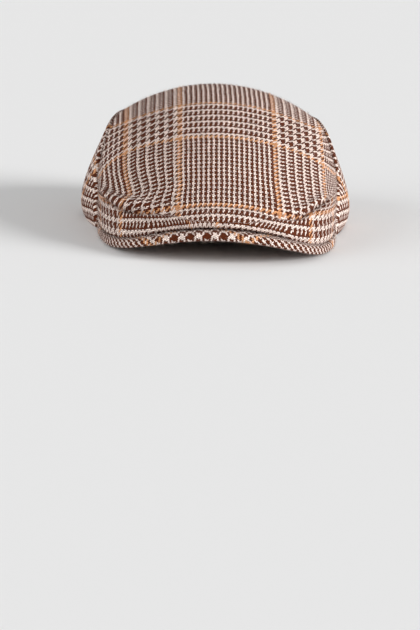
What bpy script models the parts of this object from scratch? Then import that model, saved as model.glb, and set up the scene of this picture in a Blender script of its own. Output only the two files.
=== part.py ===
"""A tweed flat cap at rest on a flat surface: top panel, two side panels and a stiff peak.

The cap faces -Y, +X is the viewer's right and z = 0 is the surface it rests on. The origin
lies under the centre of the head opening. Every length is in metres.
"""

import math

import bpy
import numpy as np

for old in list(bpy.data.objects):
    bpy.data.objects.remove(old, do_unlink=True)

# Head opening
HEAD_LENGTH = 0.200
HEAD_WIDTH = 0.164
BROW_NARROWING = 0.10  # how much narrower the opening is at the brow than at the back

# Cloth
CLOTH = 0.0025
SEAM_GAP = 0.0006

# Crown
CROWN_HEIGHT = 0.0915
CROWN_WIDTH = 0.162  # between the two side seams at their widest
BACK_OVERHANG = 0.005  # how far the back seam stands behind the head opening
SIDE_BULGE = 0.0085
SWELL_FULLNESS = 0.75  # below 1 the side panels turn in more sharply at the rim
SWELL_SAG = 1.6  # above 1 the side panels are fullest below half their height
FOLD_HALF_WIDTH = 0.006
FOLD_DEPTH = 0.0035

# Peak
HORN_OUTSIDE = 0.0035  # how far the tips of the horns stand outside the head opening
PEAK_REACH = 0.050  # in front of the head opening
PEAK_SQUARENESS = 2.6  # 2 is an ellipse, more is squarer at the corners
PEAK_THICKNESS = 0.0055
PEAK_HORN_BACK = 0.072  # from the front of the opening back to the tips of the horns
PEAK_LIFT_FRONT = 0.015
PEAK_LIFT_BROW = 0.020
PEAK_REVEAL = 0.008  # strip of the peak that shows in front of the crown

# Derived
BROW_Y = -HEAD_LENGTH / 2
FRONT_Y = BROW_Y - PEAK_REACH
BACK_Y = HEAD_LENGTH / 2 + BACK_OVERHANG
CAP_LENGTH = BACK_Y - FRONT_Y
HORN_Y = BROW_Y + PEAK_HORN_BACK
HORN_ANGLE = math.acos(-HORN_Y / (HEAD_LENGTH / 2))
HORN_NARROWING = 1 - BROW_NARROWING * math.cos(HORN_ANGLE)
PEAK_WIDTH = HEAD_WIDTH * math.sin(HORN_ANGLE) * HORN_NARROWING + 2 * HORN_OUTSIDE

# Mesh density
ROWS_PER_STATION = 2
TOP_COLUMNS = 32
SIDE_ROWS = 8
PEAK_STEPS = 28
PEAK_ACROSS = 5
EDGE_STEPS = 4
FOLD_BLEND_ROWS = 4
HORN_BLEND_COLUMNS = 5
MITRE_SMOOTHING = 6
SHARPEST_MITRE = 0.6  # cosine of half the sharpest turn that a seam's corner keeps in full
FOLD_STEPS = 8
ANGLE_STEP = 0.01  # for the direction of the opening's outline

# Colours of the check as it mixes from a distance, and a matt wool surface
CLOTH_COLOUR = (0.342, 0.231, 0.188)
PEAK_COLOUR = (0.300, 0.195, 0.150)
CLOTH_ROUGHNESS = 0.95

# Stations of the top panel, from the fold above the peak to the back seam.
# centre_back and centre_up give the middle line: shares of the cap's length, from its front
# edge, and of the crown's height. edge_out, edge_back and edge_up give the end on the side
# seam, with edge_out a share of half the crown's width. plan and arch say how the row
# leaves its middle: near 0.5 it stays full and turns late, above 1 it falls away early.
TOP_STATIONS = (
    # centre_back, centre_up, edge_out, edge_back, edge_up, plan, arch
    (0.0314, 0.229, 0.981, 0.4784, 0.066, 0.435, 1.60),
    (0.0228, 0.258, 0.984, 0.4784, 0.090, 0.435, 1.70),
    (0.0298, 0.300, 0.990, 0.4800, 0.130, 0.435, 1.90),
    (0.0569, 0.352, 0.993, 0.4880, 0.183, 0.435, 2.00),
    (0.0843, 0.395, 0.989, 0.5000, 0.238, 0.435, 1.90),
    (0.1216, 0.464, 0.996, 0.5140, 0.295, 0.440, 1.60),
    (0.1804, 0.567, 1.000, 0.5330, 0.365, 0.450, 1.40),
    (0.2490, 0.674, 0.990, 0.5570, 0.444, 0.470, 1.20),
    (0.3196, 0.768, 0.973, 0.5880, 0.513, 0.490, 1.05),
    (0.4059, 0.865, 0.948, 0.6250, 0.586, 0.500, 0.97),
    (0.4941, 0.945, 0.921, 0.6670, 0.655, 0.520, 0.92),
    (0.5961, 0.991, 0.890, 0.7140, 0.705, 0.560, 0.88),
    (0.6980, 1.000, 0.848, 0.7690, 0.730, 0.620, 0.86),
    (0.8000, 0.968, 0.778, 0.8270, 0.728, 0.700, 0.88),
    (0.8941, 0.880, 0.679, 0.8820, 0.705, 0.800, 0.94),
    (0.9647, 0.755, 0.586, 0.9250, 0.672, 0.900, 1.00),
    (1.0000, 0.625, 0.531, 0.9450, 0.651, 1.000, 1.00),
)

# Arch of one half of the peak, from the middle to the tip of the horn: shares of half the
# peak's width and of its lift.
PEAK_ARCH = (
    # across, lift
    (0.00, 1.000),
    (0.17, 0.961),
    (0.34, 0.843),
    (0.50, 0.660),
    (0.65, 0.425),
    (0.78, 0.190),
    (0.88, 0.045),
    (0.95, 0.000),
    (1.00, 0.000),
)

# Swell of the side panels along the seam, from the horn tip to the middle of the back.
SIDE_SWELL = (
    # along, swell
    (0.00, 0.00),
    (0.08, 0.20),
    (0.20, 0.70),
    (0.35, 1.00),
    (0.60, 1.00),
    (0.80, 0.85),
    (1.00, 0.70),
)

# Soft folds pressed into the top panel, each along a line between two places. across runs
# from -1 to 1 between the seams and station counts the rows of TOP_STATIONS from 0. width and
# depth are shares of the widest and deepest fold.
FOLDS = (
    # across_a, station_a, across_b, station_b, width, depth
    (-1.00, 4.0, -0.60, 4.2, 1.00, 1.00),
    (-0.60, 4.2, -0.25, 4.0, 1.00, 0.45),
    (1.00, 4.0, 0.62, 4.2, 1.00, 0.85),
    (0.62, 4.2, 0.30, 4.0, 1.00, 0.35),
)


def smooth_table(table, at):
    """Reads a table at the places given, by a smooth curve through its rows."""
    rows = np.array(table, dtype=float)
    knots, values = rows[:, 0], rows[:, 1:]
    slopes = np.gradient(values, knots, axis=0)
    at = np.clip(np.atleast_1d(np.asarray(at, dtype=float)), knots[0], knots[-1])
    low = np.clip(np.searchsorted(knots, at, side="right") - 1, 0, len(knots) - 2)
    span = (knots[low + 1] - knots[low])[:, None]
    t = (at - knots[low])[:, None] / span
    return (
        (1 + 2 * t) * (1 - t) ** 2 * values[low]
        + t * (1 - t) ** 2 * span * slopes[low]
        + t * t * (3 - 2 * t) * values[low + 1]
        + t * t * (t - 1) * span * slopes[low + 1]
    )


def unit(vectors):
    return vectors / np.linalg.norm(vectors, axis=-1, keepdims=True)


def fall(across, power):
    """1 at the middle of a row and 0 at its ends."""
    return (1 - np.abs(across) ** max(2.0, 1 / power)) ** power


def opening_curve(angle, outside):
    """The head opening's outline, enlarged by a distance. Angle 0 is the brow, pi the back."""
    half_width = HEAD_WIDTH / 2 + outside
    half_length = HEAD_LENGTH / 2 + outside
    narrowing = 1 - BROW_NARROWING * np.cos(angle)
    x = half_width * np.sin(angle) * narrowing
    y = -half_length * np.cos(angle)
    return np.stack([x, y, np.zeros_like(x)], axis=-1)


def peak_point(side, inward, level):
    """A point of the peak. side runs from -1 to 1 between the horn tips, inward from 0 at
    the outer edge to 1 at the brow, and level from 0 at its underside to 1 on top."""
    share = np.sin(np.abs(side) * math.pi / 2)
    lift = smooth_table(PEAK_ARCH, share)[:, 0]
    forward = (1 - share**PEAK_SQUARENESS) ** (1 / PEAK_SQUARENESS)
    outer_x = np.sign(side) * share * PEAK_WIDTH / 2
    outer_y = HORN_Y - forward * (HORN_Y - FRONT_Y)
    inner = opening_curve(side * HORN_ANGLE, 0.0)
    x = outer_x + (inner[:, 0] - outer_x) * inward
    y = outer_y + (inner[:, 1] - outer_y) * inward
    rise = PEAK_LIFT_FRONT + (PEAK_LIFT_BROW - PEAK_LIFT_FRONT) * inward
    z = lift * rise + level * PEAK_THICKNESS
    return np.stack([x, y, z], axis=-1)


def top_points(rows, across):
    """The top panel's outer face at row positions counted in stations."""
    table = [(index, *station) for index, station in enumerate(TOP_STATIONS)]
    grid = []
    for back, up, edge_out, edge_back, edge_up, plan, arch in smooth_table(table, rows):
        centre_y = FRONT_Y + back * CAP_LENGTH
        edge_y = FRONT_Y + edge_back * CAP_LENGTH
        x = across * edge_out * CROWN_WIDTH / 2
        y = edge_y + (centre_y - edge_y) * fall(across, plan)
        z = CROWN_HEIGHT * (edge_up + (up - edge_up) * fall(across, arch))
        grid.append(np.stack([x, y, z], axis=-1))
    return np.array(grid)


def distance_to_path(points, path):
    """Shortest distance from each point to a line of points."""
    nearest = np.full(points.shape[:-1], np.inf)
    for a, b in zip(path[:-1], path[1:]):
        along = b - a
        t = np.clip(((points - a) @ along) / max(along @ along, 1e-12), 0, 1)
        gap = np.linalg.norm(points - (a + t[..., None] * along), axis=-1)
        nearest = np.minimum(nearest, gap)
    return nearest


def grid_normals(grid):
    """Unit normals of a grid of points, facing out where rows run back and columns right."""
    along = np.gradient(grid, axis=0)
    across = np.gradient(grid, axis=1)
    return unit(np.cross(across, along))


def pressed(grid, across):
    """The top panel with its soft folds pressed in, fading out towards the seams."""
    normals = grid_normals(grid)
    depth = np.zeros(grid.shape[:-1])
    for across_a, station_a, across_b, station_b, width, deep in FOLDS:
        share = np.linspace(0, 1, FOLD_STEPS + 1)
        places = zip(
            station_a + (station_b - station_a) * share,
            across_a + (across_b - across_a) * share,
        )
        path = [top_points([station], np.array([a]))[0, 0] for station, a in places]
        away = distance_to_path(grid, np.array(path))
        near = np.exp(-((away / (width * FOLD_HALF_WIDTH)) ** 2))
        depth = np.maximum(depth, deep * FOLD_DEPTH * near)
    away_from_seams = fall(across, 0.5)
    return grid - normals * (depth * away_from_seams)[..., None]


def seam_line(top):
    """The top panel's right side and the right half of its back, as one line of points."""
    middle = TOP_COLUMNS // 2
    return np.concatenate([top[:, -1], top[-1, middle:-1][::-1]])


def side_points(seam):
    """The right side panel's outer face, rows from the seam down to the rim, and the
    inner line of the rim."""
    steps = np.linalg.norm(np.diff(seam, axis=0), axis=1)
    along = np.concatenate([[0], np.cumsum(steps)]) / steps.sum()
    horn_angle = math.acos(-(HORN_Y + SEAM_GAP) / (HEAD_LENGTH / 2 + CLOTH))
    angle = horn_angle + (math.pi - horn_angle) * along
    rim = opening_curve(angle, CLOTH)
    ahead = opening_curve(angle + ANGLE_STEP, CLOTH) - opening_curve(angle - ANGLE_STEP, CLOTH)
    outward = unit(np.stack([ahead[:, 1], -ahead[:, 0], np.zeros(len(ahead))], axis=-1))
    swell = SIDE_BULGE * smooth_table(SIDE_SWELL, along)[:, 0]
    rows = []
    for down in np.linspace(0, 1, SIDE_ROWS + 1):
        line = seam + (rim - seam) * down
        sagged = down**SWELL_SAG
        rounding = (4 * sagged * (1 - sagged)) ** SWELL_FULLNESS
        rows.append(line + outward * (swell * rounding)[:, None])
    return np.array(rows), opening_curve(angle, 0.0)


def material(name, colour, roughness):
    made = bpy.data.materials.new(name)
    made.use_nodes = True
    shader = made.node_tree.nodes["Principled BSDF"]
    shader.inputs["Base Color"].default_value = (*colour, 1.0)
    shader.inputs["Roughness"].default_value = roughness
    shader.inputs["Metallic"].default_value = 0.0
    return made


def add_mesh(name, points, faces, smooth, colour):
    mesh = bpy.data.meshes.new(name)
    mesh.from_pydata(points.tolist(), [], [[int(v) for v in face] for face in faces])
    mesh.polygons.foreach_set("use_smooth", smooth)
    mesh.materials.append(material(name, colour, CLOTH_ROUGHNESS))
    made = bpy.data.objects.new(name, mesh)
    bpy.context.scene.collection.objects.link(made)


def add_shell(name, outer, inner, colour):
    """A closed shell between two grids of points of the same shape."""
    rows, columns = outer.shape[:2]
    count = rows * columns
    index = np.arange(count).reshape(rows, columns)
    faces = []
    for i in range(rows - 1):
        for j in range(columns - 1):
            a, b, c, d = index[i, j], index[i, j + 1], index[i + 1, j + 1], index[i + 1, j]
            faces.append((a, b, c, d))
            faces.append((d + count, c + count, b + count, a + count))
    border = [*index[0], *index[1:, -1], *index[-1, :-1][::-1], *index[1:-1, 0][::-1]]
    skin = len(faces)
    points = np.concatenate([outer.reshape(-1, 3), inner.reshape(-1, 3)])
    for a, b in zip(border, [*border[1:], border[0]]):
        # Two panels that share a seam split its faces the same way, so they can't cross.
        if points[a, 1] <= points[b, 1]:
            faces += [(b, a, b + count), (a, a + count, b + count)]
        else:
            faces += [(b, a, a + count), (b, a + count, b + count)]
    add_mesh(name, points, faces, [k < skin for k in range(len(faces))], colour)


def off_the_seam(border, normals):
    """Half the seam gap, within the surface and to the right of a border as it runs."""
    run = unit(np.gradient(border, axis=0))
    return unit(np.cross(run, normals)) * SEAM_GAP / 2


def mitred(top_normals, side_normals):
    """The way in, shared by two panels along their seam."""
    middle = unit(top_normals + side_normals)
    lean = np.sum(middle * top_normals, axis=-1, keepdims=True)
    way_in = -middle * CLOTH / np.maximum(lean, SHARPEST_MITRE)
    for _ in range(MITRE_SMOOTHING):
        way_in[1:-1] = (way_in[:-2] + 2 * way_in[1:-1] + way_in[2:]) / 4
    return way_in


def mirrored(grid):
    """The same surface seen in the plane x = 0, with its columns in the same order."""
    return grid[:, ::-1] * (-1, 1, 1)


def build_peak():
    """The stiff peak: a crescent with a rounded front edge."""
    loops = []
    for side in np.linspace(-1, 1, PEAK_STEPS + 1):
        outer, inner = (peak_point(np.array([side]), v, 0)[0] for v in (0, 1))
        rounding = PEAK_THICKNESS / 2 / np.linalg.norm(outer[:2] - inner[:2])
        flat = np.linspace(1, rounding, PEAK_ACROSS)
        turn = np.linspace(0, math.pi, EDGE_STEPS + 1)[1:-1]
        inward = [*flat, *(rounding * (1 - np.sin(turn))), *flat[::-1]]
        level = [*(0 * flat), *((1 - np.cos(turn)) / 2), *(0 * flat + 1)]
        places = zip(inward, level)
        loops.append([peak_point(np.array([side]), v, h)[0] for v, h in places])
    size = len(loops[0])
    faces = [list(range(size))]
    for k in range(len(loops) - 1):
        for j in range(size):
            here, there = k * size + j, k * size + (j + 1) % size
            faces.append([there, here, here + size, there + size])
    faces.append([(len(loops) - 1) * size + j for j in reversed(range(size))])
    smooth = [len(face) == 4 for face in faces]
    add_mesh("peak", np.concatenate(loops), faces, smooth, PEAK_COLOUR)


def build_crown():
    """The top panel and the two side panels, mitred along their seams."""
    steps = np.linspace(-1, 1, TOP_COLUMNS + 1)
    across = np.sin(steps * math.pi / 2)
    last = len(TOP_STATIONS) - 1
    top = top_points(np.linspace(0, last, ROWS_PER_STATION * last + 1), across)
    reveal = PEAK_REVEAL / PEAK_REACH
    fold = peak_point(steps, reveal, 1) + (0, 0, SEAM_GAP)
    settle = np.clip(1 - np.arange(len(top)) / FOLD_BLEND_ROWS, 0, 1) ** 2
    top = pressed(top + (fold - top[0]) * settle[:, None, None], across)
    top_normals = grid_normals(top)
    way_in = -top_normals * CLOTH
    peak_depth = np.linalg.norm(peak_point(steps, 0, 0) - peak_point(steps, 1, 0), axis=-1)
    under = peak_point(steps, reveal + CLOTH / peak_depth, 1) + (0, 0, SEAM_GAP)
    middle = TOP_COLUMNS // 2
    for name, turned in (("side_panel_right", False), ("side_panel_left", True)):
        panel = mirrored(top) if turned else top
        normals = mirrored(top_normals) if turned else top_normals
        inward = mirrored(way_in) if turned else way_in
        outer, rim_inside = side_points(seam_line(panel))
        side_normals = -grid_normals(outer)
        side_normals[:, 0] = (1, 0, 0)
        side_in = -side_normals * CLOTH
        shared = mitred(seam_line(normals), side_normals[0])
        side_in[0] = shared
        side_in[:, -1] *= (0, 1, 1)
        settled = np.clip(np.arange(outer.shape[1]) / HORN_BLEND_COLUMNS, 0, 1)[:, None]
        side_in = side_in * settled + np.array((-CLOTH, 0, 0)) * (1 - settled)
        shared = side_in[0]
        inner = outer + side_in
        inner[-1] = rim_inside
        from_top = off_the_seam(outer[0], side_normals[0])
        from_twin = (SEAM_GAP / 2, 0, 0)
        for layer in (outer, inner):
            layer[0] += from_top
            layer[:, -1] += from_twin
        outer, inner = outer[:, ::-1], inner[:, ::-1]
        if turned:
            outer, inner = mirrored(outer), mirrored(inner)
        add_shell(name, outer, inner, CLOTH_COLOUR)
        inward[:, -1] = shared[: len(panel)]
        inward[-1, middle:] = shared[len(panel) - 1 :][::-1]
        way_in = mirrored(inward) if turned else inward
    inner = top + way_in
    inner[0] = under
    from_left = off_the_seam(top[:, 0], top_normals[:, 0])
    from_right = -off_the_seam(top[:, -1], top_normals[:, -1])
    from_back = off_the_seam(top[-1], top_normals[-1])
    for layer in (top, inner):
        layer[:, 0] += from_left
        layer[:, -1] += from_right
        layer[-1] += from_back
    add_shell("top_panel", top, inner, CLOTH_COLOUR)


build_peak()
build_crown()
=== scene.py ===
# %% [markdown]
# A tweed flat cap, dressed over its imported solids. The cap has four pieces of cloth: a top panel
# pulled forward over a stiff peak, and two side panels. Each is made here again with a finer
# mesh, because a weave, a roll and a crease need more points than a solid for collisions does.
# The frame is loaded first: the peak's sizes are read from its solid, and each solid is hidden
# where a piece replaces it.

# %% Load the frame
import math

import bmesh
import bpy
import numpy as np
from mathutils import Matrix, Vector


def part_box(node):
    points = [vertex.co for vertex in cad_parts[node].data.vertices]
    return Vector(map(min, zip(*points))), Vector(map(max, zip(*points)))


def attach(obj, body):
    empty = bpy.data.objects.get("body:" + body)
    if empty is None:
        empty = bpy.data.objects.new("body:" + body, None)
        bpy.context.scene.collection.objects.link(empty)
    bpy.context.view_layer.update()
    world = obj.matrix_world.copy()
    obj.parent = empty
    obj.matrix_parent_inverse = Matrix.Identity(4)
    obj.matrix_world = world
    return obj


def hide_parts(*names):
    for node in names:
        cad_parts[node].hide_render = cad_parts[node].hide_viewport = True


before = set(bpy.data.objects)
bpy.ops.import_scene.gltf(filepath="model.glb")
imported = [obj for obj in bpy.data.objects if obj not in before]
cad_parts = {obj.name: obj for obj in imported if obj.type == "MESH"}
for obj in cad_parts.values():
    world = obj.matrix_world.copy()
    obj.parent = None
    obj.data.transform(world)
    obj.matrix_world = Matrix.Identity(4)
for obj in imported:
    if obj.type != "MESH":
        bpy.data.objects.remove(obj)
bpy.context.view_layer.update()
print("solids:", sorted(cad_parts))

# %% [markdown]
# The cap's sizes, in metres. The frame gives what can be read from a box: the opening is
# centred on the origin, the peak's front is its lowest y, and the rim lies at z = 0. The rest
# are the sizes that a cap maker works with.

# %% Sizes
HEAD_LENGTH = 0.200  # of the opening, front to back
HEAD_WIDTH = 0.164
BROW_NARROWING = 0.10  # share by which the opening is narrower at the brow
CLOTH = 0.0025
CROWN_HEIGHT = 0.0915
CROWN_WIDTH = 0.162  # between the two side seams
BACK_OVERHANG = 0.005
SIDE_BULGE = 0.0085
SWELL_FULLNESS = 0.75  # below 1 the bulge is fuller than a parabola
SWELL_SAG = 1.6  # above 1 it hangs lower than half way down

PEAK_SQUARENESS = 2.6  # 2 would make its edge an ellipse
PEAK_THICKNESS = 0.0055
PEAK_HORN_BACK = 0.072  # how far the horns reach back from the brow
PEAK_LIFT_FRONT = 0.015  # how high its middle arches, at the front edge and at the brow
PEAK_LIFT_BROW = 0.020
PEAK_REVEAL = 0.008  # how much of it shows in front of the top panel

BROW_Y = -HEAD_LENGTH / 2
FRONT_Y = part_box("peak")[0].y
BACK_Y = HEAD_LENGTH / 2 + BACK_OVERHANG
CAP_LENGTH = BACK_Y - FRONT_Y
HORN_Y = BROW_Y + PEAK_HORN_BACK
HORN_ANGLE = math.acos(-HORN_Y / (HEAD_LENGTH / 2))
PEAK_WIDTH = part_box("peak")[1].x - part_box("peak")[0].x
print("cap length", round(CAP_LENGTH, 4), "peak width", round(PEAK_WIDTH, 4))

# %% [markdown]
# The top panel is described by stations from the fold above the peak to the back seam. Each
# row has the height and place of its middle and of its end on the side seam. A smooth curve
# runs through the rows, so that the cloth has no facets.

# %% Stations of the top panel
TOP_STATIONS = (
    # centre_back, centre_up, edge_out, edge_back, edge_up, plan, arch
    (0.0314, 0.229, 0.981, 0.4784, 0.066, 0.435, 1.60),
    (0.0228, 0.258, 0.984, 0.4784, 0.090, 0.435, 1.70),
    (0.0298, 0.300, 0.990, 0.4800, 0.130, 0.435, 1.90),
    (0.0569, 0.352, 0.993, 0.4880, 0.183, 0.435, 2.00),
    (0.0843, 0.395, 0.989, 0.5000, 0.238, 0.435, 1.90),
    (0.1216, 0.464, 0.996, 0.5140, 0.295, 0.440, 1.60),
    (0.1804, 0.567, 1.000, 0.5330, 0.365, 0.450, 1.40),
    (0.2490, 0.674, 0.990, 0.5570, 0.444, 0.470, 1.20),
    (0.3196, 0.768, 0.973, 0.5880, 0.513, 0.490, 1.05),
    (0.4059, 0.865, 0.948, 0.6250, 0.586, 0.500, 0.97),
    (0.4941, 0.945, 0.921, 0.6670, 0.655, 0.520, 0.92),
    (0.5961, 0.991, 0.890, 0.7140, 0.705, 0.560, 0.88),
    (0.6980, 1.000, 0.848, 0.7690, 0.730, 0.620, 0.86),
    (0.8000, 0.968, 0.778, 0.8270, 0.728, 0.700, 0.88),
    (0.8941, 0.880, 0.679, 0.8820, 0.705, 0.800, 0.94),
    (0.9647, 0.755, 0.586, 0.9250, 0.672, 0.900, 1.00),
    (1.0000, 0.625, 0.531, 0.9450, 0.651, 1.000, 1.00),
)
PEAK_ARCH = (
    # across, lift
    (0.00, 1.000),
    (0.17, 0.961),
    (0.34, 0.843),
    (0.50, 0.660),
    (0.65, 0.425),
    (0.78, 0.190),
    (0.88, 0.045),
    (0.95, 0.000),
    (1.00, 0.000),
)
SIDE_SWELL = (
    # along, swell
    (0.00, 0.00),
    (0.08, 0.20),
    (0.20, 0.70),
    (0.35, 1.00),
    (0.60, 1.00),
    (0.80, 0.85),
    (1.00, 0.70),
)
LAST_STATION = len(TOP_STATIONS) - 1
print(len(TOP_STATIONS), "stations on the top panel")


def smooth_table(table, at):
    """Reads a table at the places given, by a smooth curve through its rows."""
    rows = np.array(table, dtype=float)
    knots, values = rows[:, 0], rows[:, 1:]
    slopes = np.gradient(values, knots, axis=0)
    at = np.clip(np.asarray(at, dtype=float), knots[0], knots[-1])
    low = np.clip(np.searchsorted(knots, at, side="right") - 1, 0, len(knots) - 2)
    span = (knots[low + 1] - knots[low])[..., None]
    t = (at - knots[low])[..., None] / span
    return (
        (1 + 2 * t) * (1 - t) ** 2 * values[low]
        + t * (1 - t) ** 2 * span * slopes[low]
        + t * t * (3 - 2 * t) * values[low + 1]
        + t * t * (t - 1) * span * slopes[low + 1]
    )


def unit(vectors):
    """The vectors at a length of 1."""
    return vectors / np.linalg.norm(vectors, axis=-1, keepdims=True)


def fall(across, power):
    """1 at the middle of a row and 0 at its ends."""
    return (1 - np.abs(across) ** np.maximum(2.0, 1 / power)) ** power


def opening_curve(angle, outside):
    """The opening's outline, enlarged by a distance. Angle 0 is the brow, pi the back."""
    narrowing = 1 - BROW_NARROWING * np.cos(angle)
    x = (HEAD_WIDTH / 2 + outside) * np.sin(angle) * narrowing
    y = -(HEAD_LENGTH / 2 + outside) * np.cos(angle)
    return np.stack([x, y, np.zeros_like(x)], axis=-1)


def peak_point(side, inward, level):
    """A point of the peak: side from -1 to 1 between the horns, inward from its edge to the
    brow, level from its underside to its top."""
    share = np.sin(np.abs(side) * math.pi / 2)
    lift = smooth_table(PEAK_ARCH, share)[..., 0]
    forward = (1 - share**PEAK_SQUARENESS) ** (1 / PEAK_SQUARENESS)
    outer_x = np.sign(side) * share * PEAK_WIDTH / 2
    outer_y = HORN_Y - forward * (HORN_Y - FRONT_Y)
    inner = opening_curve(side * HORN_ANGLE, 0.0)
    x = outer_x + (inner[..., 0] - outer_x) * inward
    y = outer_y + (inner[..., 1] - outer_y) * inward
    rise = PEAK_LIFT_FRONT + (PEAK_LIFT_BROW - PEAK_LIFT_FRONT) * inward
    return np.stack([x, y, lift * rise + level * PEAK_THICKNESS], axis=-1)


def top_point(station, across):
    """The smooth outer face of the top panel, before its folds."""
    table = [(index, *row) for index, row in enumerate(TOP_STATIONS)]
    read = smooth_table(table, station)
    back, up, edge_out, edge_back, edge_up, plan, arch = np.moveaxis(read, -1, 0)
    edge_y = FRONT_Y + edge_back * CAP_LENGTH
    x = across * edge_out * CROWN_WIDTH / 2
    y = edge_y + (FRONT_Y + back * CAP_LENGTH - edge_y) * fall(across, plan)
    z = CROWN_HEIGHT * (edge_up + (up - edge_up) * fall(across, arch))
    return np.stack([x, y, z], axis=-1)


# %% [markdown]
# Every panel starts as a flat grid from create_grid, whose points are then moved onto the
# surface. The grid keeps the order of its rows and columns, so that lengths along the cloth can
# be measured, and the threads counted from them go into a UV map: one unit of u is one warp
# thread and one unit of v is one weft thread. A weave drawn on that map follows the cloth.

# %% Grid helpers
def new_grid(columns, rows):
    """A bmesh grid and its points' places, from 0 to 1, as arrays of rows by columns."""
    bm = bmesh.new()
    bmesh.ops.create_grid(bm, x_segments=columns, y_segments=rows, size=0.5)
    flat = np.array([v.co for v in bm.verts]) + 0.5
    order = np.lexsort((flat[:, 0].round(6), flat[:, 1].round(6)))
    shape = (rows + 1, columns + 1)
    return bm, order, flat[order, 0].reshape(shape), flat[order, 1].reshape(shape)


def grid_normals(grid):
    """Unit normals, facing out where rows run back and columns run to the right."""
    return unit(np.cross(np.gradient(grid, axis=1), np.gradient(grid, axis=0)))


def finish_grid(name, bm, order, points, threads, thickness=0.0):
    """Moves the grid's points onto the surface, adds the thread map and makes the object."""
    bm.verts.ensure_lookup_table()
    where = points.reshape(-1, 3)
    count = threads.reshape(-1, 2)
    place = {}
    for index, vertex in enumerate(order):
        bm.verts[vertex].co = where[index]
        place[int(vertex)] = index
    layer = bm.loops.layers.uv.new("threads")
    for face in bm.faces:
        for loop in face.loops:
            loop[layer].uv = count[place[loop.vert.index]]
        face.smooth = True
    mesh = bpy.data.meshes.new(name)
    bm.to_mesh(mesh)
    bm.free()
    made = bpy.data.objects.new(name, mesh)
    bpy.context.scene.collection.objects.link(made)
    if thickness:
        wall = made.modifiers.new("wall", "SOLIDIFY")
        wall.thickness = thickness
        wall.offset = -1
        apply_modifiers(made)
    print(name, len(made.data.polygons), "faces")
    return made


def apply_modifiers(obj):
    """Replaces the object's mesh by what its modifiers make of it."""
    graph = bpy.context.evaluated_depsgraph_get()
    mesh = bpy.data.meshes.new_from_object(obj.evaluated_get(graph))
    obj.modifiers.clear()
    obj.data = mesh


def lengths(grid, axis):
    """Length along the cloth from the first row or column."""
    steps = np.linalg.norm(np.diff(grid, axis=axis), axis=-1)
    start = np.zeros_like(np.take(steps, [0], axis=axis))
    return np.concatenate([start, np.cumsum(steps, axis=axis)], axis=axis)


# %% [markdown]
# The crease. The top panel is cut long, so that it rolls over the peak and doubles back where
# the crown meets that roll. At both sides the cloth above sags over the crease like a lip, and
# in the middle only a soft valley is left. Simulating the whole cap as cloth would lose the
# shape that wear gave it, so the crease is given: its line across the panel, how deep it is
# pressed, how far the lip above it stands out, and below which station the cloth is gathered
# on the roll.

# %% Crease of the top panel
CREASE = (
    # across, station, depth, lip, gather
    (-1.00, 5.20, 0.0050, 0.0014, 5.20),
    (-0.95, 4.85, 0.0072, 0.0040, 4.85),
    (-0.87, 4.55, 0.0078, 0.0048, 4.55),
    (-0.79, 4.20, 0.0074, 0.0046, 4.20),
    (-0.67, 3.95, 0.0060, 0.0036, 3.95),
    (-0.59, 3.80, 0.0044, 0.0022, 3.80),
    (-0.52, 3.65, 0.0026, 0.0008, 3.50),
    (-0.44, 3.60, 0.0016, 0.0004, 3.10),
    (-0.22, 3.60, 0.0010, 0.0002, 2.10),
    (0.00, 3.65, 0.0009, 0.0002, 1.80),
    (0.20, 3.70, 0.0010, 0.0002, 2.00),
    (0.40, 3.60, 0.0016, 0.0004, 2.70),
    (0.50, 3.60, 0.0028, 0.0010, 3.40),
    (0.58, 3.70, 0.0040, 0.0018, 3.70),
    (0.67, 3.95, 0.0056, 0.0032, 3.95),
    (0.74, 4.50, 0.0060, 0.0034, 4.50),
    (0.80, 4.90, 0.0056, 0.0030, 4.90),
    (0.87, 5.20, 0.0042, 0.0018, 5.20),
    (0.95, 5.50, 0.0030, 0.0012, 5.50),
    (1.00, 5.70, 0.0020, 0.0004, 5.70),
)
GROOVE_WIDTH = 0.0027
LIP_WIDTH = 0.0052
ROLL_WIDTH = 0.0080
LIP_SAG = 0.8  # share of its own height by which the lip sags over the crease
SEAM_HOLD = 0.05  # share of the half width over which the side seam holds the cloth flat
print("deepest crease", max(row[2] for row in CREASE))


def crease_line(across):
    """Station, depth and lip of the crease and the gather's station, across the panel."""
    table = np.array(CREASE)
    return [np.interp(across, table[:, 0], table[:, column]) for column in (1, 2, 3, 4)]


def length_above(grid, station, line):
    """Length along the cloth from a line of stations, less than 0 below it."""
    arc = lengths(grid, 0)
    at_line = [np.interp(line[k], station[:, k], arc[:, k]) for k in range(grid.shape[1])]
    return arc - np.array(at_line)


def hump(distance, width):
    """1 at no distance, and next to nothing past two widths."""
    return np.exp(-((distance / width) ** 2))


def creased(grid, station, across):
    """Presses the crease into the panel and raises the lip above it."""
    line, deep, lip = crease_line(across)[:3]
    above = length_above(grid, station, line[0])
    groove = deep * hump(above, GROOVE_WIDTH)
    swell = lip * hump(above - LIP_WIDTH, LIP_WIDTH) * (above > 0)
    swell = swell + lip * hump(LIP_WIDTH, LIP_WIDTH) * hump(above, ROLL_WIDTH) * (above <= 0)
    sag = -np.clip(1 - above / LIP_WIDTH, 0, 1) * (above > 0) * lip * LIP_SAG
    held = np.clip((1 - np.abs(across)) / SEAM_HOLD, 0, 1)
    moved = grid_normals(grid) * ((swell - groove) * held)[..., None]
    moved[..., 2] += sag * held
    return grid + moved


# %% [markdown]
# Across, the middle of the cap has a field of fine checks 72 threads wide, then an orange
# line of 4, then a band of broad stripes 44 wide, and another orange line. Front to back the
# fine field is 64 threads. The tables of x hold where single threads lie, and the threads
# between them are spread evenly. A soft cap doesn't keep its threads straight, so above the
# crease a second table drags them aside at both ends, and on the roll below it they slant
# outward and the wefts are a little further apart.

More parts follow.
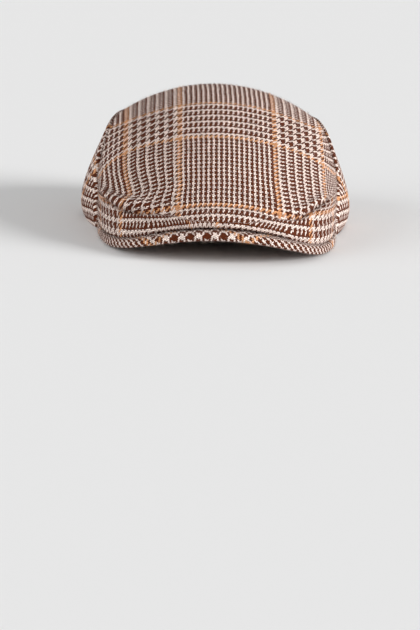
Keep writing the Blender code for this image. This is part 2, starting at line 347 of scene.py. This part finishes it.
# %% Thread counts on the top panel
FINE_WARP = 72
FINE_WEFT = 64
LINE = 4
BAND = 44
WARP_AT_X = (
    # x, thread
    (-0.0780, -103.0),
    (-0.0630, -86.0),
    (-0.0273, -38.0),
    (0.0043, 0.0),
    (0.0360, 38.0),
    (0.0700, 86.0),
)
WARP_PITCH = 0.00090  # from one thread to the next
WEFT_PITCH = 0.00101
LOWER_LINE = 0.0239  # from the front fold back to the middle of the first orange line
ROLL_WARP_AT_X = (
    # x, thread
    (-0.0643, -162.0),
    (-0.0216, -86.0),
    (-0.0031, -38.0),
    (0.0267, -8.0),
    (0.0595, 38.0),
)
ROLL_SLANT = 0.5  # how much the gathered cloth is pulled outward on its way down
SLANT_END = 0.6  # and the place across the panel where that pull has faded again
WARP_DRIFT = (
    # length above the crease, threads at the left, threads at the right
    (0.000, 2.0, -4.4),
    (0.008, 2.8, -4.2),
    (0.013, 0.8, -3.8),
    (0.018, -2.8, -3.2),
    (0.023, -5.6, -2.4),
    (0.030, -4.6, -1.4),
    (0.041, -1.8, -0.5),
    (0.056, 0.0, 0.0),
)
DRIFT_AT = (
    # across, width
    (-0.68, 0.26),
    (0.60, 0.22),
)
BAND_START = FINE_WEFT + LINE * 1.5  # counted from the middle of the first orange line
ROLL_EASE = (0.22, 0.20)  # share of the weft threads that the roll lacks at its left and right
ROLL_START = (1.0, 2.0)  # and where their count starts at the front fold
EASE_FROM = 0.40  # place across the panel where the roll starts to lack threads
EASE_OVER = 0.25  # and over how much more of it that grows to the full share
LIP_SPREAD = 0.5  # share of the crease's depth whose threads are spread above it
LIP_REACH = 0.018
WEFT_AT_EDGES = (
    # edge, station of the band's start, fine threads that show below it, sharpness
    (-1, 6.05, 20.0, 7.5),
    (1, 6.95, 34.0, 6.0),
)


def threads_by_x(table, grid, x):
    """Threads read from a table of places, and beyond its ends by length along the cloth."""
    table = np.array(table)
    arc = lengths(grid, 1)
    count = np.interp(x, table[:, 0], table[:, 1])
    for row in range(len(grid)):
        for end in (table[0], table[-1]):
            side = np.sign(end[0])
            outside = side * x[row] > side * end[0]
            end_arc = np.interp(end[0], x[row], arc[row])
            beyond = np.abs(arc[row] - end_arc)
            count[row, outside] = end[1] + side * beyond[outside] / WARP_PITCH
    return count


def warp_threads(grid, station, across):
    """Threads counted across: by x over the front of the cap, then by length at its sides."""
    line, gather = crease_line(across)[0], crease_line(across)[3]
    drift = smooth_table(WARP_DRIFT, length_above(grid, station, line[0]))
    dragged = sum(
        drift[..., side] * hump(across - place, width)
        for side, (place, width) in enumerate(DRIFT_AT)
    )
    above = length_above(grid, station, gather[0])
    slant = np.sin(math.pi * np.minimum(np.abs(across) / SLANT_END, 1))
    pull = ROLL_SLANT * np.sign(across) * slant
    crown = threads_by_x(WARP_AT_X, grid, grid[..., 0]) + dragged
    roll = threads_by_x(ROLL_WARP_AT_X, grid, grid[..., 0] - pull * above)
    return np.where(station < gather, roll, crown)


def weft_threads(grid, smooth, station, across):
    """Threads counted from the first orange line: straight over the middle, and drawn down
    into the crease at both sides, where the cloth between is tucked away. smooth is the
    grid before its crease, so that the crease takes threads of its own."""
    arc = lengths(grid, 0)
    middle = grid.shape[1] // 2
    centre = (arc[:, middle] - LOWER_LINE) / WEFT_PITCH
    count = np.repeat(centre[:, None], grid.shape[1], axis=1)
    rows = station[:, 0]
    for side, band_station, showing, sharpness in WEFT_AT_EDGES:
        edge_arc = arc[:, 0 if side < 0 else -1]
        crease = crease_line(side)[0]
        band_arc = np.interp(band_station, rows, edge_arc)
        crease_arc = np.interp(crease, rows, edge_arc)
        rising = BAND_START - showing * (band_arc - edge_arc) / (band_arc - crease_arc)
        beyond = BAND_START + (edge_arc - band_arc) / WEFT_PITCH
        edge = np.where(rows > band_station, beyond, rising)
        shift = np.repeat((edge - centre)[:, None], grid.shape[1], axis=1)
        weight = np.where(side * across > 0, np.abs(across) ** sharpness, 0)
        count = count + np.where(station < crease_line(across)[0], 0, shift * weight)
    beside = np.clip((np.abs(across) - EASE_FROM) / EASE_OVER, 0, 1)
    ease, start = np.where(across < 0, *ROLL_EASE), np.where(across < 0, *ROLL_START)
    eased = count + beside * (start - ease * (count - centre[0]))
    line, deep = crease_line(across)[:2]
    extra = lengths(grid, 0) - lengths(smooth, 0)
    spread = LIP_SPREAD * deep * hump(length_above(grid, station, line[0]), LIP_REACH)
    lip = count + (spread + extra - extra[-1:]) / WEFT_PITCH
    return np.where(station < line, eased, lip)


# %% [markdown]
# The top panel. Its front row lies on the peak, 8 mm behind the peak's edge, and the rows
# behind it settle into the stations. Close to the seams the cloth turns in, as it does where
# two panels are sewn together with their edges inside.

# %% Top panel
TOP_COLUMNS = 160
ROWS_PER_STATION = 11
SEAM_GAP = 0.0006
SEAM_ROLL = 0.0035  # how far from a seam the cloth starts to turn in
SEAM_SINK = 0.0012
SETTLE_STATIONS = 2  # over which the front row's place on the peak fades out
FOLD_ROLL = 0.0055  # the front fold turns under over this length
FOLD_SINK = 0.0026
FOLD_FADE = 8  # how sharply that stops beside the side seams
FOLD_SIDE_SHARE = 0.5  # share of the sink that is left at the sides

bm, order, u, v = new_grid(TOP_COLUMNS, ROWS_PER_STATION * LAST_STATION)
steps = 2 * u - 1
across = np.sin(steps * math.pi / 2)
station = v * LAST_STATION
top = top_point(station, across)
reveal = PEAK_REVEAL / (BROW_Y - FRONT_Y)
fold = peak_point(steps[0], reveal, 1) + (0, 0, SEAM_GAP)
settle = np.clip(1 - station / SETTLE_STATIONS, 0, 1) ** 2
smooth_top = top + (fold - top[0]) * settle[..., None]
top = creased(smooth_top, station, across)
top_normals = grid_normals(top)
warp_count = warp_threads(top, station, across)
weft_count = weft_threads(top, smooth_top, station, across)
threads = np.stack([warp_count, weft_count], axis=-1)


def turned_in(grid, normals, from_edge):
    """Sinks the cloth in beside a seam."""
    roll = np.clip(1 - from_edge / SEAM_ROLL, 0, 1)
    return grid - normals * (SEAM_SINK * roll**2)[..., None]


arc_across, arc_back = lengths(top, 1), lengths(top, 0)
from_seam = np.minimum(arc_across, arc_across[:, -1:] - arc_across)
from_seam = np.minimum(from_seam, arc_back[-1:] - arc_back)
rolled = turned_in(top, top_normals, from_seam)
under = FOLD_SINK * np.clip(1 - arc_back / FOLD_ROLL, 0, 1) ** 2 * (1 - across**FOLD_FADE)
rolled[..., 1] += under * (1 - np.abs(across))
rolled -= top_normals * (FOLD_SIDE_SHARE * under * np.abs(across))[..., None]
top_cloth = finish_grid("top_cloth", bm, order, rolled, threads, CLOTH)

# %% [markdown]
# The side panels hang from the top panel's seam to the rim, and bulge outward a little because
# the cloth is loose. The right one is made, and the left one is the same surface made again
# from the mirrored seam, with a check of its own.

# %% Side panels
SIDE_ROWS = 36
SIDE_WEFT_PITCH = 0.00100
RIM_WEFT_LEFT = 36.0  # the weft thread that lies along the rim
RIM_WEFT_RIGHT = 55.0


def side_surface(seam, down):
    """Rows from the seam down to the rim."""
    steps = np.linalg.norm(np.diff(seam, axis=0), axis=1)
    along = np.concatenate([[0], np.cumsum(steps)]) / steps.sum()
    horn_angle = math.acos(-(HORN_Y + SEAM_GAP) / (HEAD_LENGTH / 2 + CLOTH))
    angle = horn_angle + (math.pi - horn_angle) * along
    rim = opening_curve(angle, CLOTH)
    ahead = np.gradient(rim, axis=0)
    outward = unit(np.stack([ahead[:, 1], -ahead[:, 0], np.zeros(len(ahead))], axis=-1))
    swell = SIDE_BULGE * smooth_table(SIDE_SWELL, along)[:, 0]
    sagged = down**SWELL_SAG
    rounding = (4 * sagged * (1 - sagged)) ** SWELL_FULLNESS
    line = seam + (rim - seam) * down[..., None]
    return line + outward * (swell * rounding)[..., None]


def build_side(name, top_half, mirror, rim_weft):
    """One side panel. top_half is the top panel seen so that its seam is on the right."""
    middle = top_half.shape[1] // 2
    seam = np.concatenate([top_half[:, -1], top_half[-1, middle:-1][::-1]])
    bm, order, _, v = new_grid(len(seam) - 1, SIDE_ROWS)
    surface = side_surface(seam, v)
    normals = -grid_normals(surface)
    arc_down, arc_along = lengths(surface, 0), lengths(surface, 1)
    from_edge = np.minimum(arc_down, arc_along[:, -1:] - arc_along)
    surface = turned_in(surface, normals, from_edge)
    surface[:, -1, 0] = SEAM_GAP / 2
    level = arc_down[-1:] - arc_down
    threads = np.stack([arc_along / WARP_PITCH, level / SIDE_WEFT_PITCH + rim_weft], axis=-1)
    if mirror:
        surface, normals = surface * (-1, 1, 1), normals * (-1, 1, 1)
    else:
        surface, normals, threads = surface[:, ::-1], normals[:, ::-1], threads[:, ::-1]
    made = finish_grid(name, bm, order, surface[::-1], threads[::-1], CLOTH)
    for vertex in made.data.vertices:
        vertex.co.z = max(0.0, vertex.co.z)
    return made, (surface, normals, threads)


side_right_cloth, side_right_weave = build_side(
    "side_cloth_right", top, False, RIM_WEFT_RIGHT
)
mirrored_top = top[:, ::-1] * (-1, 1, 1)
side_left_cloth, side_left_weave = build_side(
    "side_cloth_left", mirrored_top, True, RIM_WEFT_LEFT
)

# %% [markdown]
# The peak is a board covered in the same cloth, cut across the weave, so that its check runs
# diagonally. A grid is wrapped round it: from the brow forward underneath, round the front
# edge, and back over the top. What stays open along the brow and at the horns is filled last.

# %% Peak
PEAK_STEPS = 150
PEAK_AROUND = 36
PEAK_TURN_SHARE = 0.24  # share of the grid's rows that goes round the front edge
PEAK_PITCH = 0.00094
BROAD_CHECK_AT = -0.018  # along the peak, where both bands of broad stripes cross
PEAK_WEFT_SHIFT = 6  # threads by which the wefts miss the middle of their band there
BAND_MIDDLE_WARP = FINE_WARP / 2 + LINE + BAND / 2
BAND_MIDDLE_WEFT = FINE_WEFT / 2 + LINE + BAND / 2 + PEAK_WEFT_SHIFT


def peak_section(share, side):
    """Places on the peak's skin: share runs from the brow below, round the edge, to the top."""
    outer, inner = peak_point(side, 0.0, 0.0), peak_point(side, 1.0, 0.0)
    width = np.linalg.norm((outer - inner)[..., :2], axis=-1)
    rounding = PEAK_THICKNESS / 2 / width
    flat = (1 - PEAK_TURN_SHARE) / 2
    below = np.clip(share / flat, 0, 1)
    turn = np.clip((share - flat) / PEAK_TURN_SHARE, 0, 1) * math.pi
    above = np.clip((share - flat - PEAK_TURN_SHARE) / flat, 0, 1)
    inward = 1 - (1 - rounding) * below - rounding * np.sin(turn) + (1 - rounding) * above
    level = (1 - np.cos(turn)) / 2
    return peak_point(side, inward, level)


bm, order, u, v = new_grid(PEAK_STEPS, PEAK_AROUND)
peak_skin = peak_section(v, 2 * u - 1)
run = lengths(peak_skin, 1)
run = run - run[:, -1:] / 2 - BROAD_CHECK_AT
rise = lengths(peak_skin, 0)
rise = rise - rise[PEAK_AROUND // 2][None, :]
bias = math.sqrt(0.5) / PEAK_PITCH
across_peak = (run + rise) * bias + BAND_MIDDLE_WARP
down_peak = (rise - run) * bias + BAND_MIDDLE_WEFT
peak_threads = np.stack([across_peak, down_peak], axis=-1)
peak_cloth = finish_grid("peak_cloth", bm, order, peak_skin, peak_threads)


def close_ends(obj):
    """Fills the open borders, so that the board is one closed body."""
    bm = bmesh.new()
    bm.from_mesh(obj.data)
    border = [edge for edge in bm.edges if edge.is_boundary]
    bmesh.ops.holes_fill(bm, edges=border, sides=0)
    bmesh.ops.recalc_face_normals(bm, faces=bm.faces)
    bm.to_mesh(obj.data)
    bm.free()


close_ends(peak_cloth)

# %% [markdown]
# Wool is never smooth: short ends of fibre stand off the yarn, and seen along the surface they
# veil the check and soften the cap's outline. Hair particles would do it too, but plain strips
# of mesh travel with the model. A grid of two rows is cut into single strips, and each is laid
# at a random place, bent over and narrowed to its tip. It takes the colour of the yarn it grows
# from, because it carries that yarn's thread counts.

# %% Loose fibres
FIBRE_LENGTH = (0.0011, 0.0034)
FIBRE_LIFT = (0.15, 0.95)  # angle from the cloth, in radians
FIBRE_CURL = 0.5
FIBRE_TIP_RISE = 0.2  # the outer half rises less, so the fibre bends over
FIBRE_WIDTHS = (0.00009, 0.00007, 0.00002)  # at its root, half way and at its tip
FIBRES_PER_SQUARE_METRE = 480000
FLOOR_CLEARANCE = 0.0002


def scattered(grid, count, rng):
    """Rows and columns of random places, spread evenly over the cloth."""
    down, right = np.diff(grid, axis=0)[:, :-1], np.diff(grid, axis=1)[:-1]
    area = np.linalg.norm(np.cross(down, right), axis=-1)
    cell = rng.choice(area.size, size=count, p=area.ravel() / area.sum())
    row, column = np.divmod(cell, area.shape[1])
    return row + rng.random(count), column + rng.random(count)


def between(values, row, column):
    """Values read between the points of a grid."""
    i, j = row.astype(int), column.astype(int)
    down, right = (row - i)[:, None], (column - j)[:, None]
    upper = values[i, j] * (1 - right) + values[i, j + 1] * right
    lower = values[i + 1, j] * (1 - right) + values[i + 1, j + 1] * right
    return upper * (1 - down) + lower * down


def build_fuzz(name, grid, normals, threads, seed):
    """The loose fibres of one piece of cloth, each a strip of two faces."""
    rng = np.random.default_rng(seed)
    steps = np.linalg.norm(np.diff(grid, axis=0), axis=-1)[:, :-1]
    area = (steps * np.linalg.norm(np.diff(grid, axis=1), axis=-1)[:-1]).sum()
    count = int(area * FIBRES_PER_SQUARE_METRE)
    place = scattered(grid, count, rng)
    root, out = between(grid, *place), unit(between(normals, *place))
    lean = rng.normal(size=(count, 3))
    flat = unit(lean - out * np.sum(lean * out, axis=1, keepdims=True))
    aside = np.cross(out, flat)
    long = rng.uniform(*FIBRE_LENGTH, count)[:, None]
    lift = rng.uniform(*FIBRE_LIFT, count)[:, None]
    curl = rng.uniform(-FIBRE_CURL, FIBRE_CURL, count)[:, None]
    rise = out * np.sin(lift)
    halfway = root + long * (0.5 * flat * np.cos(lift) + 0.5 * rise)
    tip = halfway + long * (0.5 * flat + 0.5 * curl * aside + FIBRE_TIP_RISE * rise)
    columns = 2 * count - 1
    bm, order, *_ = new_grid(columns, 2)
    gaps = [f for f in bm.faces if int((f.calc_center_median().x + 0.5) * columns) % 2]
    bmesh.ops.delete(bm, geom=gaps, context="FACES")
    points = np.zeros((3, 2 * count, 3))
    for row, (middle, width) in enumerate(zip((root, halfway, tip), FIBRE_WIDTHS)):
        points[row, 0::2] = middle - aside * width / 2
        points[row, 1::2] = middle + aside * width / 2
    points[..., 2] = np.maximum(points[..., 2], FLOOR_CLEARANCE)
    grown_from = np.repeat(between(threads, *place), 2, axis=0)
    return finish_grid(name, bm, order, points, np.array([grown_from] * 3))


top_fuzz = build_fuzz("top_fuzz", rolled, top_normals, threads, 1)
peak_fuzz = build_fuzz("peak_fuzz", peak_skin, grid_normals(peak_skin), peak_threads, 2)
side_right_fuzz = build_fuzz("side_fuzz_right", *side_right_weave, 3)
side_left_fuzz = build_fuzz("side_fuzz_left", *side_left_weave, 4)

# %% [markdown]
# The cloth. A 2/2 twill passes each warp thread over two wefts and under two, one step further
# on each row, so the cell of warp i and weft j shows the warp where (i - j + 2) mod 4 is below
# 2. With dark and light threads in twos and fours that alone draws the small checks, the
# houndstooth and the shaded stripes of a glen check, so the pattern is not painted: the material
# works out which thread is on top and takes its colour. Painted shade and a painted highlight on
# each thread are added below. The class below lets those sums be written as Python expressions.

# %% Node expressions
class Signal:
    """An output socket that can stand in an expression. Numbers alone stay in Python."""

    def __init__(self, socket):
        self.socket = socket

    def node(self, kind, settings, inputs, output=0):
        """Adds a node of this type, sets it up, feeds its sockets and returns an output."""
        tree = self.socket.id_data
        made = tree.nodes.new(kind)
        for key, value in settings.items():
            setattr(made, key, value)
        for key, value in inputs.items():
            if isinstance(value, Signal):
                tree.links.new(value.socket, made.inputs[key])
            else:
                made.inputs[key].default_value = value
        return Signal(made.outputs[output])

    def math(self, operation, *values):
        """Adds a Math node."""
        return self.node("ShaderNodeMath", {"operation": operation}, dict(enumerate(values)))

    def __add__(self, other):
        return self.math("ADD", self, other)

    __radd__ = __add__

    def __sub__(self, other):
        return self.math("SUBTRACT", self, other)

    def __rsub__(self, other):
        return self.math("SUBTRACT", other, self)

    def __mul__(self, other):
        return self.math("MULTIPLY", self, other)

    __rmul__ = __mul__

    def __truediv__(self, other):
        return self.math("DIVIDE", self, other)

    def __mod__(self, other):
        return self.math("FLOORED_MODULO", self, other)

    def __lt__(self, other):
        return self.math("LESS_THAN", self, other)

    def __gt__(self, other):
        return self.math("GREATER_THAN", self, other)

    def __pow__(self, other):
        return self.math("POWER", self, other)

    def __abs__(self):
        return self.math("ABSOLUTE", self)

    def floor(self):
        return self.math("FLOOR", self)


def mix(factor, low, high):
    """A colour between two others."""
    inputs = {0: factor, 6: low, 7: high}
    return factor.node("ShaderNodeMix", {"data_type": "RGBA"}, inputs, output=2)


def choose(switch, on, off):
    """One signal where the switch is 1, and the other where it is 0."""
    return off + (on - off) * switch


def rounded(place):
    """1 in the middle of a thread and 0 at both its edges."""
    return 1 - (2 * place - 1) ** 2


def between_levels(signal, levels):
    """Spreads a signal from 0 to 1 over a low and a high level."""
    low, high = levels
    return low + (high - low) * signal


def noise(place, scale, detail):
    """Smooth noise from 0 to 1 that is fixed to the object."""
    inputs = {"Vector": place, "Scale": scale, "Detail": detail}
    return place.node("ShaderNodeTexNoise", {}, inputs)


# %% [markdown]
# Wool colours are linear RGB. Each thread varies a little in tone, and its fibres catch the light
# unevenly. Shade is painted into its colour where it dives under its neighbours, and a highlight
# is painted along its top. The same height that paints that shade and highlight also feeds a
# Bump node, so the yarn stands up when the light is low.

# %% Tweed material
DARK_WOOL = (0.062, 0.014, 0.005, 1.0)
LIGHT_WOOL = (1.0, 0.88, 0.80, 1.0)
ORANGE_WOOL = (0.76, 0.38, 0.18, 1.0)
# painted shade for the crossings of the yarn, a dark red-brown
SHADOW_WOOL = (0.140, 0.030, 0.008, 1.0)
WOOL_FINISH = (
    # socket, value
    ("Roughness", 0.95),
    ("Specular IOR Level", 0.1),
    ("Sheen Weight", 0.04),
    ("Sheen Roughness", 0.5),
)
TWILL = 4  # threads after which the twill repeats
FLOAT = 2  # threads that each thread passes over
FINE_REPEAT = 4  # two light threads and two dark ones
BROAD_REPEAT = 8  # four and four
DARK_YARN_SPREAD = 0.17  # in threads, at each border of a dark stripe
BROAD_YARN_SPREAD = 0.5  # share by which that is more in the broad stripes
WARP_WANDER = ((95.0, 0.9), (620.0, 0.55))  # slow and quick: noise scale, range in threads
WEFT_WANDER = ((80.0, 0.9), (560.0, 0.55))
WANDER_DETAIL = 1.0
FLOAT_END_HEIGHT = 0.45  # of a thread where it dives under its neighbour
# how far painted shade darkens a thread where it dives under its neighbours
CROSSING_SHADE = 0.85
FIBRE_SCALE = 1500.0
SLUB_SCALE = 260.0
WOOL_DETAIL = 2.0
# HEIGHT_LIGHT paints shade on a thread's edges and a highlight along its top
HEIGHT_LIGHT = (0.82, 1.17)  # brightness where each signal is 0 and where it is 1
SHADE_LIGHT = (0.78, 1.22)
FIBRE_LIGHT = (0.60, 1.40)
SLUB_LIGHT = (0.75, 1.25)
YARN_RELIEF = 0.00022
FIBRE_RELIEF = 0.5  # share of the yarn's own height
BUMP_STRENGTH = 0.7


def thread_kind(thread, fine, orange_threads):
    """Whether a thread is dark, and whether it belongs to an orange line. The fine field starts
    with its two light threads, so that the band beside it shows thin light lines between
    broad dark teeth."""
    place = (thread + fine / 2) % (fine + BAND + 2 * LINE)
    from_middle = abs(place + 0.5 - (fine + LINE + BAND / 2))
    in_band = from_middle < BAND / 2
    orange = (from_middle < BAND / 2 + orange_threads) - in_band
    fine_dark = ((place % FINE_REPEAT) > FINE_REPEAT / 2 - 0.5) * (1 - in_band)
    in_broad = (place - fine - LINE) % BROAD_REPEAT
    broad_dark = (in_broad > BROAD_REPEAT / 2 - 0.5) * in_band
    return fine_dark + broad_dark, orange


def spread_dark(position, fine):
    """Moves a place on the thread map so that the thicker dark yarn takes more room."""
    place = (position + fine / 2) % (fine + BAND + 2 * LINE)
    in_band = abs(place - (fine + LINE + BAND / 2)) < BAND / 2
    repeat = FINE_REPEAT + (BROAD_REPEAT - FINE_REPEAT) * in_band
    turn = (place - (fine + LINE) * in_band) / repeat
    wave = turn.math("COSINE", turn * (2 * math.pi))
    return position - wave * DARK_YARN_SPREAD * (1 + BROAD_YARN_SPREAD * in_band)


def wander(position, place, waves):
    """Lets a thread wander from its course."""
    for scale, threads in waves:
        position = position + (noise(place, scale, WANDER_DETAIL) - 0.5) * threads
    return position


def tweed(name, weft_shift):
    made = bpy.data.materials.new(name)
    made.use_nodes = True
    tree = made.node_tree
    shader = tree.nodes["Principled BSDF"]
    for socket, value in WOOL_FINISH:
        shader.inputs[socket].default_value = value
    uv = tree.nodes.new("ShaderNodeUVMap")
    uv.uv_map = "threads"
    start = Signal(uv.outputs[0])
    place = Signal(tree.nodes.new("ShaderNodeTexCoord").outputs["Object"])
    warp_count = start.node("ShaderNodeSeparateXYZ", {}, {0: start})
    weft_count = Signal(warp_count.socket.node.outputs[1])
    warp_place = wander(warp_count, place, WARP_WANDER)
    weft_place = wander(weft_count, place, WEFT_WANDER) + weft_shift
    warp_place = spread_dark(warp_place, FINE_WARP)
    weft_place = spread_dark(weft_place, FINE_WEFT)
    warp, weft = warp_place.floor(), weft_place.floor()
    across, along = warp_place - warp, weft_place - weft
    step = (warp - weft + FLOAT) % TWILL
    warp_over = step < FLOAT - 0.5
    warp_dark, warp_orange = thread_kind(warp, FINE_WARP, LINE)
    weft_dark, weft_orange = thread_kind(weft, FINE_WEFT, LINE - 1)
    dark = choose(warp_over, warp_dark, weft_dark)
    orange = choose(warp_over, warp_orange, weft_orange)
    side = choose(warp_over, across, along)
    warp_run = (1 - step + along) / FLOAT
    weft_run = (step - FLOAT + across) / FLOAT
    run = choose(warp_over, warp_run, weft_run)
    height = rounded(side) * between_levels(rounded(run), (FLOAT_END_HEIGHT, 1))
    shade = start.node(
        "ShaderNodeTexWhiteNoise", {"noise_dimensions": "2D"},
        {"Vector": start.node("ShaderNodeCombineXYZ", {}, {0: warp, 1: weft})},
    )
    fibre = noise(place, FIBRE_SCALE, WOOL_DETAIL)
    slub = noise(place, SLUB_SCALE, WOOL_DETAIL)
    colour = mix(dark, LIGHT_WOOL, DARK_WOOL)
    colour = mix(orange, colour, ORANGE_WOOL)
    # painted shade: each thread darker towards its edges, where it dives under its neighbours
    colour = mix((1 - height) * CROSSING_SHADE, colour, SHADOW_WOOL)
    # painted shade and highlight from the yarn's height, times its random tone, fibres and slubs
    painted_light_and_tone = between_levels(height, HEIGHT_LIGHT) * between_levels(shade, SHADE_LIGHT)
    painted_light_and_tone = painted_light_and_tone * between_levels(fibre, FIBRE_LIGHT) * between_levels(slub, SLUB_LIGHT)
    colour = start.node(
        "ShaderNodeVectorMath", {"operation": "SCALE"}, {0: colour, "Scale": painted_light_and_tone}
    )
    tree.links.new(colour.socket, shader.inputs["Base Color"])
    bump = tree.nodes.new("ShaderNodeBump")
    bump.inputs["Strength"].default_value = BUMP_STRENGTH
    bump.inputs["Distance"].default_value = YARN_RELIEF
    tree.links.new((height + FIBRE_RELIEF * fibre).socket, bump.inputs["Height"])
    tree.links.new(bump.outputs[0], shader.inputs["Normal"])
    print(name, len(tree.nodes), "nodes")
    return made


# The top panel counts its wefts from the middle of an orange line, the others from a field's.
top_tweed = tweed("crown_tweed", -(FINE_WEFT + LINE) / 2)
side_tweed = tweed("side_tweed", 0.0)
peak_tweed = tweed("peak_tweed", 0.0)

# %% [markdown]
# Each piece gets its cloth, rides on the cap's one body and stands for its solid.

# %% Dress the frame
PIECES = (
    # piece, material, node, slot
    (top_cloth, top_tweed, "top_panel", "checked_tweed"),
    (side_left_cloth, side_tweed, "side_panel_left", "checked_tweed"),
    (side_right_cloth, side_tweed, "side_panel_right", "checked_tweed"),
    (peak_cloth, peak_tweed, "peak", "bias_cut_tweed"),
)
for piece, cloth, node, slot in PIECES:
    piece.data.materials.append(cloth)
    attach(piece, "root")
    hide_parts(node)
FUZZ = (
    # piece, material, slot
    (top_fuzz, top_tweed, "checked_tweed"),
    (side_left_fuzz, side_tweed, "checked_tweed"),
    (side_right_fuzz, side_tweed, "checked_tweed"),
    (peak_fuzz, peak_tweed, "bias_cut_tweed"),
)
for piece, cloth, slot in FUZZ:
    piece.data.materials.append(cloth)
    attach(piece, "root")
print(len(PIECES) + len(FUZZ), "pieces dressed")

# %% [markdown]
# The studio: a pale floor without an edge, a soft light from the viewer's right, a weaker one
# from the left, and an even grey sky that fills the shadows.

# %% Floor and lights
FLOOR_SIDE = 12.0
FLOOR_DROP = 0.0003  # keeps the floor clear of the rim
FLOOR_GREY = (0.82, 0.82, 0.82, 1.0)
FLOOR_ROUGHNESS = 0.9
SKY_WHITE = (1.0, 1.0, 1.0, 1.0)
SKY_STRENGTH = 0.46
LIGHTS = (
    # name, towards, power, softness
    ("soft_key_right", (3.4, -1.25, 1.25), 3.55, 30),
    ("soft_fill_left", (-2.5, -1.3, 1.0), 1.35, 50),
)


def build_floor():
    """The surface that the cap lies on. It belongs to the stage and not to the cap."""
    bm = bmesh.new()
    bmesh.ops.create_grid(bm, x_segments=1, y_segments=1, size=FLOOR_SIDE / 2)
    bmesh.ops.translate(bm, verts=bm.verts, vec=(0, 0, -FLOOR_DROP))
    mesh = bpy.data.meshes.new("studio_floor")
    bm.to_mesh(mesh)
    bm.free()
    made = bpy.data.objects.new("studio_floor", mesh)
    bpy.context.scene.collection.objects.link(made)
    paint = bpy.data.materials.new("floor_paint")
    paint.use_nodes = True
    shader = paint.node_tree.nodes["Principled BSDF"]
    shader.inputs["Base Color"].default_value = FLOOR_GREY
    shader.inputs["Roughness"].default_value = FLOOR_ROUGHNESS
    made.data.materials.append(paint)


def add_light(name, towards, power, softness):
    """A distant light, so that the floor is lit evenly. softness is its width in degrees."""
    data = bpy.data.lights.new(name, "SUN")
    data.energy = power
    data.angle = math.radians(softness)
    made = bpy.data.objects.new(name, data)
    bpy.context.scene.collection.objects.link(made)
    made.rotation_euler = (-Vector(towards)).to_track_quat("-Z", "Y").to_euler()
    print(name, power)


build_floor()
for light in LIGHTS:
    add_light(*light)
world = bpy.data.worlds.new("studio_air")
bpy.context.scene.world = world
world.use_nodes = True
world.node_tree.nodes["Background"].inputs["Color"].default_value = SKY_WHITE
world.node_tree.nodes["Background"].inputs["Strength"].default_value = SKY_STRENGTH
bpy.context.scene.view_settings.view_transform = "Standard"

# %% [markdown]
# The camera stands where the photograph's stood: about two metres away, nine degrees above the
# cap and a little to its left, with a long lens. It is turned so that the cap lies in the same
# place of the picture, which is 420 by 630 pixels.

# %% Camera
PICTURE = (420, 630)
SENSOR = 36.0
CAMERA_DISTANCE = 2.090
CAMERA_RISE = math.radians(9.0)
CAMERA_SWING = math.radians(-1.5)
CAMERA_ROLL = math.radians(2.2)
AIM = Vector((0, 0, 0.045))  # the middle of the cap
AIM_PIXEL = (217.5, 158.5)  # where that point lies in the picture
PIXELS_PER_METRE = 1464.0  # at that point


def build_camera():
    """A camera that is turned at its place, and so needs no shift, to frame the cap."""
    focal_pixels = PIXELS_PER_METRE * CAMERA_DISTANCE
    back = Vector((
        math.sin(CAMERA_SWING) * math.cos(CAMERA_RISE),
        -math.cos(CAMERA_SWING) * math.cos(CAMERA_RISE),
        math.sin(CAMERA_RISE),
    ))
    forward = -back
    right = forward.cross(Vector((0, 0, 1))).normalized()
    up = right.cross(forward)
    rolled_right = right * math.cos(CAMERA_ROLL) + up * math.sin(CAMERA_ROLL)
    rolled_up = up * math.cos(CAMERA_ROLL) - right * math.sin(CAMERA_ROLL)
    pan = math.atan((AIM_PIXEL[0] - PICTURE[0] / 2) / focal_pixels)
    tilt = math.atan((PICTURE[1] / 2 - AIM_PIXEL[1]) / focal_pixels)
    panned = forward * math.cos(pan) - rolled_right * math.sin(pan)
    final_right = panned.cross(rolled_up).normalized()
    above = final_right.cross(panned)
    final_forward = panned * math.cos(tilt) - above * math.sin(tilt)
    final_up = final_right.cross(final_forward)
    data = bpy.data.cameras.new("camera")
    data.sensor_fit = "VERTICAL"
    data.sensor_height = SENSOR
    data.lens = SENSOR * focal_pixels / PICTURE[1]
    made = bpy.data.objects.new("camera", data)
    bpy.context.scene.collection.objects.link(made)
    turn = Matrix((final_right, final_up, -final_forward)).transposed()
    made.matrix_world = Matrix.Translation(AIM + back * CAMERA_DISTANCE) @ turn.to_4x4()
    bpy.context.scene.camera = made
    print("lens", round(data.lens, 1), "mm at", [round(c, 3) for c in made.location])


build_camera()
